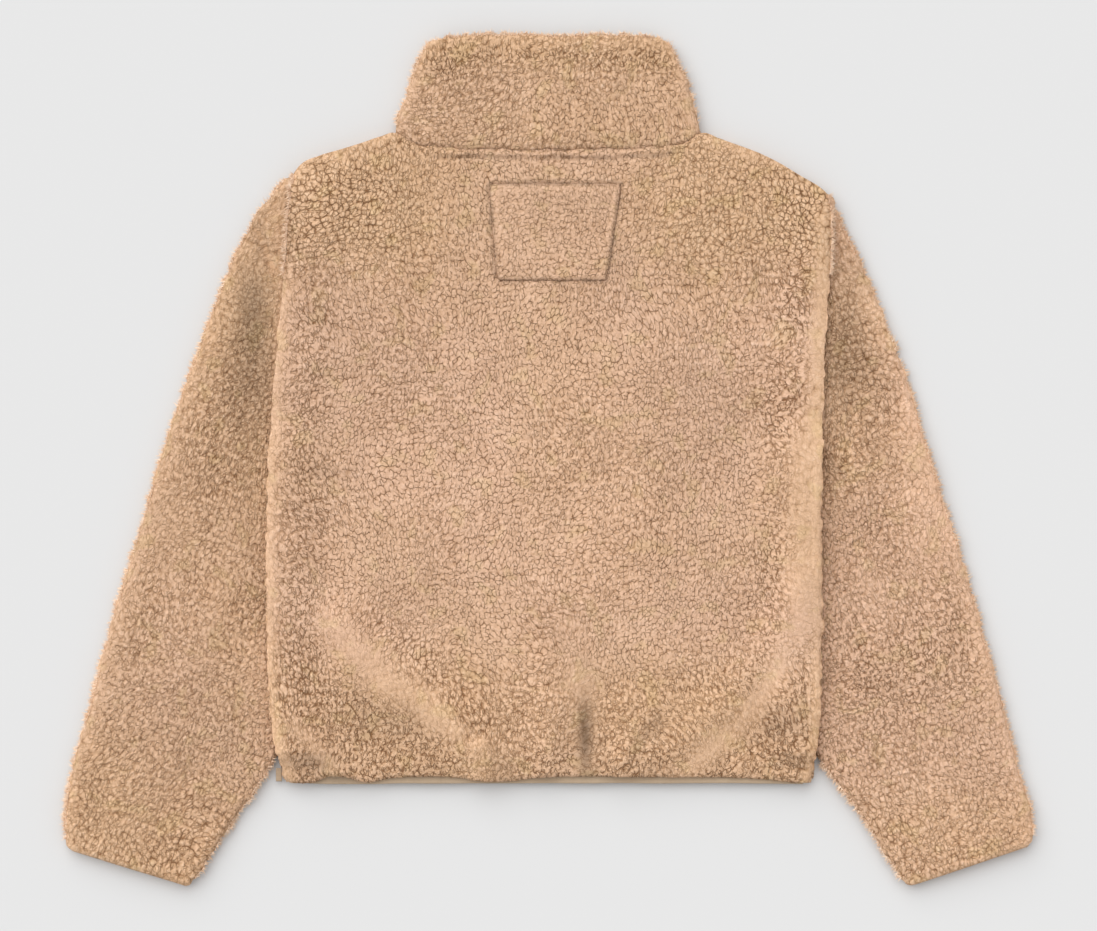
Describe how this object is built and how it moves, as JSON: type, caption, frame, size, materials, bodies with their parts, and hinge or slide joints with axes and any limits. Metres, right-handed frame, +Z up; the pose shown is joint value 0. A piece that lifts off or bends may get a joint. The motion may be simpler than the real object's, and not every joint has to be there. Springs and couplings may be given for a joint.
{
  "type": "sherpa jacket",
  "caption": "Cropped high-collared sherpa fleece jacket laid flat on its front, sleeves out to the sides, with a gathered hem and a closed front zip underneath.",
  "frame": {"origin": "middle of the jacket's outline, on the surface that it lies on", "axes": "+X across the jacket towards the wearer's right sleeve, +Y from the hem towards the collar, +Z up out of the back panel"},
  "size_m": [0.8316, 0.7318, 0.0277],
  "materials": {
    "pile": "tan curly sherpa pile",
    "binding": "smooth matt taupe stretch binding",
    "zip_tape": "woven tape",
    "zip_chain": "moulded teeth",
    "metal": "dull cast metal"
  },
  "bodies": {
    "root": {"back_panel": "pile", "front_left": "pile", "front_right": "pile", "sleeve_left": "pile", "sleeve_right": "pile", "collar": "pile", "back_patch": "pile", "hem_binding": "binding", "cuff_binding_left": "binding", "cuff_binding_right": "binding", "side_label": "binding", "zip_tape_left": "zip_tape", "zip_tape_right": "zip_tape", "zip_chain": "zip_chain", "zip_slider": "metal"},
    "pull": {"zip_pull": "metal"}
  },
  "joints": [
    {"name": "zip_pull_hinge", "type": "hinge", "parent": "root", "child": "pull", "pos_m": [0, 0.341, 0.0017], "axis": [1, 0, 0], "range_deg": [0, 170]}
  ]
}
